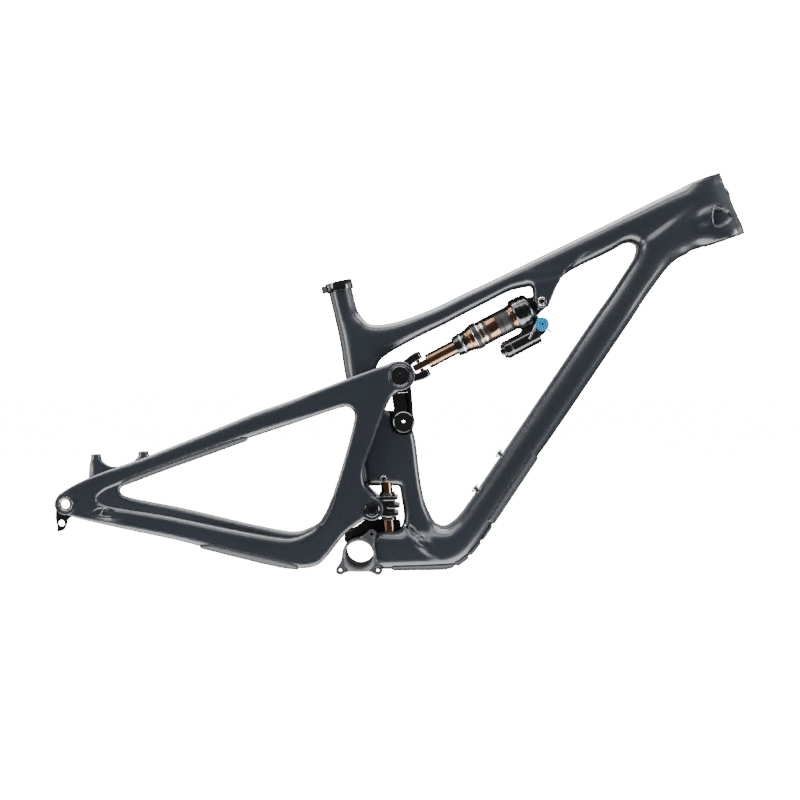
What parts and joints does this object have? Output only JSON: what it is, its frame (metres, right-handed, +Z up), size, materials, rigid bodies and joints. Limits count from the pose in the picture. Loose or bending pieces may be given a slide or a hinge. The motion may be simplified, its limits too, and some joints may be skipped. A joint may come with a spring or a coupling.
{
  "type": "bicycle frame",
  "caption": "Full-suspension mountain bicycle frame: carbon front triangle, swingarm on a sliding lower pivot, rocker link and air shock with reservoir.",
  "frame": {"origin": "middle of the bottom bracket shell, on its axis", "axes": "+X forward, +Y to the rider's left across the frame, +Z up, with the frame about 6 degrees nose down from its riding attitude"},
  "size_m": [1.0203, 0.1695, 0.601],
  "materials": {
    "carbon": "satin dark slate clear coat over carbon",
    "gloss_black": "anodised gloss black",
    "bronze": "bronze hard-coated, polished",
    "silver": "machined",
    "gunmetal": "satin gunmetal anodised",
    "rubber": "matt ribbed rubber",
    "blue": "bright blue anodised"
  },
  "bodies": {
    "front_triangle": {"head_tube": "carbon", "top_tube": "carbon", "down_tube": "carbon", "seat_tube": "carbon", "lower_seat_tube": "carbon", "bb_shell": "gunmetal", "shock_mount_ears": "carbon", "seat_collar": "gloss_black", "seat_collar_bolt": "silver", "head_badge": "gunmetal", "head_cable_ports": "gloss_black", "lower_cable_ports": "gloss_black", "bottle_bosses": "silver", "chain_guide_inserts": "silver", "down_tube_guard": "rubber", "lower_guard_segments": "rubber", "shock_mount_bolt": "silver", "slider_rails": "bronze", "rail_holder": "gloss_black", "rail_bolts": "silver", "rocker_axle": "gloss_black", "rocker_caps": "gloss_black"},
    "slider": {"slider_block": "gloss_black", "slider_wipers": "gloss_black", "slider_bushings": "bronze", "main_pivot_bearings": "silver"},
    "swingarm": {"upright_right": "carbon", "upright_left": "carbon", "seatstay_right": "carbon", "seatstay_left": "carbon", "chainstay_right": "carbon", "chainstay_left": "carbon", "dropout_right": "carbon", "dropout_left": "carbon", "swingarm_bridge": "carbon", "dropout_inserts": "silver", "derailleur_hanger": "gloss_black", "hanger_screw": "silver", "brake_mount": "carbon", "brake_mount_inserts": "silver", "chainstay_guards": "rubber", "seatstay_guard": "rubber", "chainstay_cable_ports": "gloss_black", "main_pivot_axle": "gloss_black", "upper_pivot_pins": "gloss_black", "upper_pivot_bearings": "silver", "upper_pivot_caps": "gloss_black"},
    "link": {"rocker_link": "gloss_black", "rocker_bearings": "silver"},
    "shock_body": {"shock_head": "gunmetal", "air_can": "bronze", "seal_head": "gloss_black", "reservoir": "gloss_black", "shock_eyelet_bushing": "silver", "air_valve_cap": "gloss_black"},
    "shock_shaft": {"shock_shaft": "bronze", "shock_piston": "silver", "shock_yoke": "gloss_black", "yoke_bolts": "silver"},
    "lever": {"compression_lever": "blue"}
  },
  "joints": [
    {"name": "lower_pivot_slide", "type": "slide", "parent": "front_triangle", "child": "slider", "axis": [-0.0739, 0, 0.9973], "range_m": [0, 0.003]},
    {"name": "swingarm_pivot", "type": "hinge", "parent": "slider", "child": "swingarm", "pos_m": [0.019, 0, 0.0675], "axis": [0, 1, 0], "range_deg": [0, 14.8], "stiffness_Nm_per_rad": 120, "springref_deg": -20.05},
    {"name": "rocker_pivot", "type": "hinge", "parent": "front_triangle", "child": "link", "pos_m": [0.0655, 0, 0.1965], "axis": [0, 1, 0], "range_deg": [0, 45]},
    {"name": "shock_front_pivot", "type": "hinge", "parent": "front_triangle", "child": "shock_body", "pos_m": [0.273, 0, 0.3765], "axis": [0, -1, 0], "range_deg": [0, 10.5]},
    {"name": "shock_stroke", "type": "slide", "parent": "shock_body", "child": "shock_shaft", "axis": [0.8855, 0, 0.4646], "range_m": [0, 0.0335]},
    {"name": "compression_lever_turn", "type": "hinge", "parent": "shock_body", "child": "lever", "pos_m": [0.27277, -0.02, 0.3425], "axis": [0, -1, 0], "range_deg": [0, 90]}
  ],
  "couplings": [
    {"joint": "lower_pivot_slide", "follows": "swingarm_pivot", "m_per_rad": 0.008517},
    {"joint": "rocker_pivot", "follows": "swingarm_pivot", "ratio": 2.973},
    {"joint": "shock_front_pivot", "follows": "swingarm_pivot", "ratio": 0.68243},
    {"joint": "shock_stroke", "follows": "swingarm_pivot", "m_per_rad": 0.12698}
  ]
}
